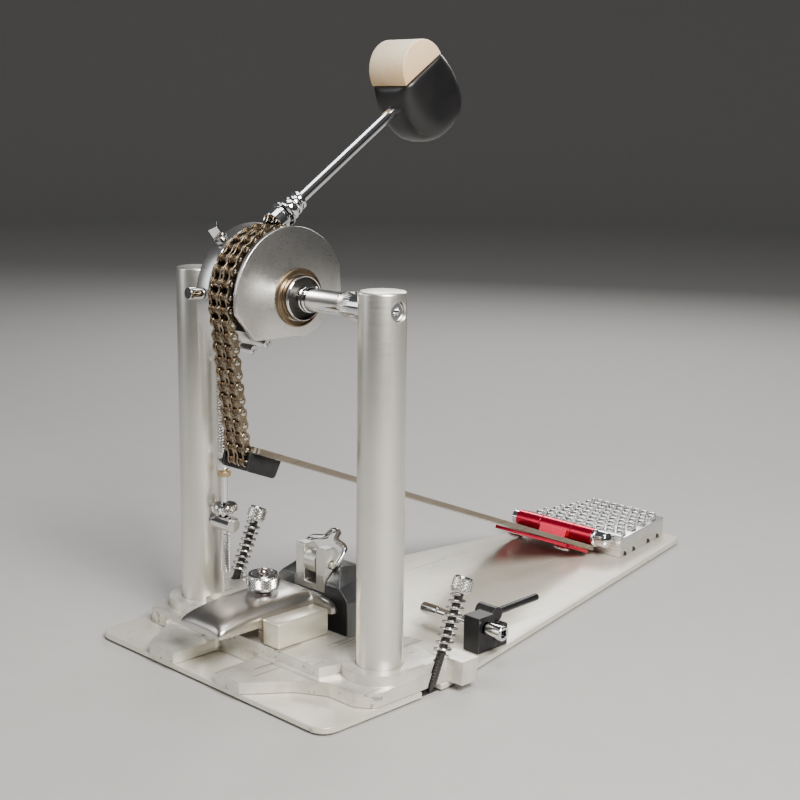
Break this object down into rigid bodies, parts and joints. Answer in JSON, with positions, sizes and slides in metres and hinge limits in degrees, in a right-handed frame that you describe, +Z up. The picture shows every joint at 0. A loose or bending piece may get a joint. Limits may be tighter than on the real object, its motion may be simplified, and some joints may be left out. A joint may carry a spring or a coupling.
{
  "type": "bass drum pedal",
  "caption": "Foot pedal for a bass drum: base plate with two posts, axle with chain cam and beater, long hinged footboard, hoop clamp and return spring.",
  "frame": {"origin": "on the floor midway between the two posts, straight below the axle", "axes": "+X along the axle to the player's right, -Y towards the drum, +Y towards the heel, +Z up"},
  "size_m": [0.1875, 0.3764, 0.3157],
  "materials": {
    "plate": "semi-gloss cream-silver",
    "satin": "brushed satin",
    "cast": "satin casting",
    "dark_cast": "dark grey casting",
    "chrome": "polished",
    "bronze": "dark bronze",
    "chain": "oiled steel",
    "spring": "drawn wire",
    "red": "red anodised",
    "board": "brushed, brownish",
    "black": "black oxide",
    "rubber": "matte",
    "jacket": "semi-matte",
    "wood": "pale, turned"
  },
  "bodies": {
    "base": {"floor_pad": "rubber", "base_plate": "plate", "frame_block": "cast", "guide_block_right": "plate", "guide_block_left": "plate", "post_right": "satin", "post_left": "satin", "bearing_right": "chrome", "bearing_left": "chrome", "clamp_housing": "dark_cast", "clamp_stud": "chrome", "key_holder": "black", "heel_block": "satin", "heel_knuckle_left": "red", "heel_knuckle_right": "red", "heel_pin": "chrome", "heel_nut_left": "chrome", "heel_nut_right": "chrome", "lever_bracket": "satin", "spur_spring_right": "spring", "spur_spring_left": "spring"},
    "jaw": {"clamp_jaw": "cast"},
    "knob": {"clamp_knob": "chrome"},
    "lever": {"clamp_lever": "chrome", "lever_cam": "satin"},
    "right_spur": {"spur_right": "chrome"},
    "left_spur": {"spur_left": "chrome"},
    "key": {"drum_key": "chrome"},
    "hex": {"hex_key": "black"},
    "drive": {"axle": "chrome", "cam_flange": "satin", "cam_core": "dark_cast", "hub_flange": "satin", "hub_ring": "bronze", "hub_collar": "chrome", "set_screw_square": "chrome", "set_screw_round": "chrome", "spring_crank": "satin", "beater_collar": "chrome", "chain_wrap": "chain"},
    "beater": {"beater_rod": "chrome", "beater_jacket": "jacket", "beater_pad": "wood"},
    "link_6": {"chain_link_6": "chain"},
    "link_5": {"chain_link_5": "chain"},
    "link_4": {"chain_link_4": "chain"},
    "link_3": {"chain_link_3": "chain"},
    "link_2": {"chain_link_2": "chain"},
    "link_1": {"chain_link_1": "chain"},
    "run": {"chain_run": "chain"},
    "board": {"footboard": "board", "hinge_leaf": "red", "heel_knuckle_centre": "red", "toe_bracket": "black", "leaf_bolt_left": "chrome", "leaf_bolt_right": "chrome"},
    "swivel": {"spring_swivel": "chrome", "tension_rod": "spring"},
    "nut": {"tension_nut": "chrome"},
    "spring": {"return_spring": "spring"}
  },
  "joints": [
    {"name": "drive_swing", "type": "hinge", "parent": "base", "child": "drive", "pos_m": [0, 0, 0.1889], "axis": [1, 0, 0], "range_deg": [0, 50], "stiffness_Nm_per_rad": 0.8, "springref_deg": -8.59},
    {"name": "beater_slide", "type": "slide", "parent": "drive", "child": "beater", "axis": [0, 0.831, 0.5563], "range_m": [0, 0.012]},
    {"name": "footboard_hinge", "type": "hinge", "parent": "base", "child": "board", "pos_m": [-0.016, 0.246, 0.016], "axis": [1, 0, 0], "range_deg": [0, 6.8]},
    {"name": "chain_joint_6", "type": "hinge", "parent": "drive", "child": "link_6", "pos_m": [-0.0022, -0.02186, 0.21736], "axis": [1, 0, 0], "range_deg": [-1, 3]},
    {"name": "chain_joint_5", "type": "hinge", "parent": "link_6", "child": "link_5", "pos_m": [-0.0022, -0.02689, 0.21349], "axis": [1, 0, 0], "range_deg": [-11, 1]},
    {"name": "chain_joint_4", "type": "hinge", "parent": "link_5", "child": "link_4", "pos_m": [-0.0022, -0.03111, 0.20875], "axis": [1, 0, 0], "range_deg": [-11, 1]},
    {"name": "chain_joint_3", "type": "hinge", "parent": "link_4", "child": "link_3", "pos_m": [-0.0022, -0.03436, 0.20329], "axis": [1, 0, 0], "range_deg": [-11, 1]},
    {"name": "chain_joint_2", "type": "hinge", "parent": "link_3", "child": "link_2", "pos_m": [-0.0022, -0.03653, 0.19732], "axis": [1, 0, 0], "range_deg": [-11, 1]},
    {"name": "chain_joint_1", "type": "hinge", "parent": "link_2", "child": "link_1", "pos_m": [-0.0022, -0.03753, 0.19105], "axis": [1, 0, 0], "range_deg": [-11, 1]},
    {"name": "chain_toe_joint", "type": "hinge", "parent": "board", "child": "run", "pos_m": [-0.0022, -0.02783, 0.10911], "axis": [1, 0, 0], "range_deg": [-15, 1]},
    {"name": "spring_swing", "type": "hinge", "parent": "base", "child": "swivel", "pos_m": [-0.0495, 0, 0.0615], "axis": [1, 0, 0], "range_deg": [-11, 1]},
    {"name": "spring_stretch", "type": "slide", "parent": "swivel", "child": "spring", "axis": [0, 0, 1], "range_m": [0, 0.0117], "deforming": ["return_spring"]},
    {"name": "tension_nut_turn", "type": "hinge", "parent": "swivel", "child": "nut", "pos_m": [-0.0495, 0, 0.069], "axis": [0, 0, 1], "range_deg": [-180, 180]},
    {"name": "lever_turn", "type": "hinge", "parent": "base", "child": "lever", "pos_m": [-0.0047, 0.026, 0.045], "axis": [1, 0, 0], "range_deg": [-25, 0]},
    {"name": "jaw_tilt", "type": "hinge", "parent": "base", "child": "jaw", "pos_m": [-0.0047, -0.011, 0.031], "axis": [1, 0, 0], "range_deg": [0, 3.4]},
    {"name": "knob_turn", "type": "hinge", "parent": "base", "child": "knob", "pos_m": [-0.0047, -0.011, 0.042], "axis": [0, 0, 1], "range_deg": [-180, 180]},
    {"name": "spur_right_slide", "type": "slide", "parent": "base", "child": "right_spur", "axis": [0, 0.4131, 0.9107], "range_m": [0, 0.008]},
    {"name": "spur_left_slide", "type": "slide", "parent": "base", "child": "left_spur", "axis": [0, 0.4131, 0.9107], "range_m": [0, 0.008]},
    {"name": "drum_key_out", "type": "slide", "parent": "base", "child": "key", "axis": [1, 0, 0], "range_m": [0, 0.045]},
    {"name": "hex_key_out", "type": "slide", "parent": "base", "child": "hex", "axis": [0, 1, 0], "range_m": [0, 0.03]}
  ],
  "couplings": [
    {"joint": "footboard_hinge", "follows": "drive_swing", "ratio": 0.1356},
    {"joint": "chain_joint_6", "follows": "drive_swing", "ratio": 0.0392},
    {"joint": "chain_joint_5", "follows": "drive_swing", "ratio": -0.2169},
    {"joint": "chain_joint_4", "follows": "drive_swing", "ratio": -0.2169},
    {"joint": "chain_joint_3", "follows": "drive_swing", "ratio": -0.2169},
    {"joint": "chain_joint_2", "follows": "drive_swing", "ratio": -0.2169},
    {"joint": "chain_joint_1", "follows": "drive_swing", "ratio": -0.2169},
    {"joint": "chain_toe_joint", "follows": "drive_swing", "ratio": -0.2893},
    {"joint": "spring_swing", "follows": "drive_swing", "ratio": -0.2128},
    {"joint": "spring_stretch", "follows": "drive_swing", "m_per_rad": 0.01326},
    {"joint": "jaw_tilt", "follows": "lever_turn", "ratio": -0.1333}
  ]
}
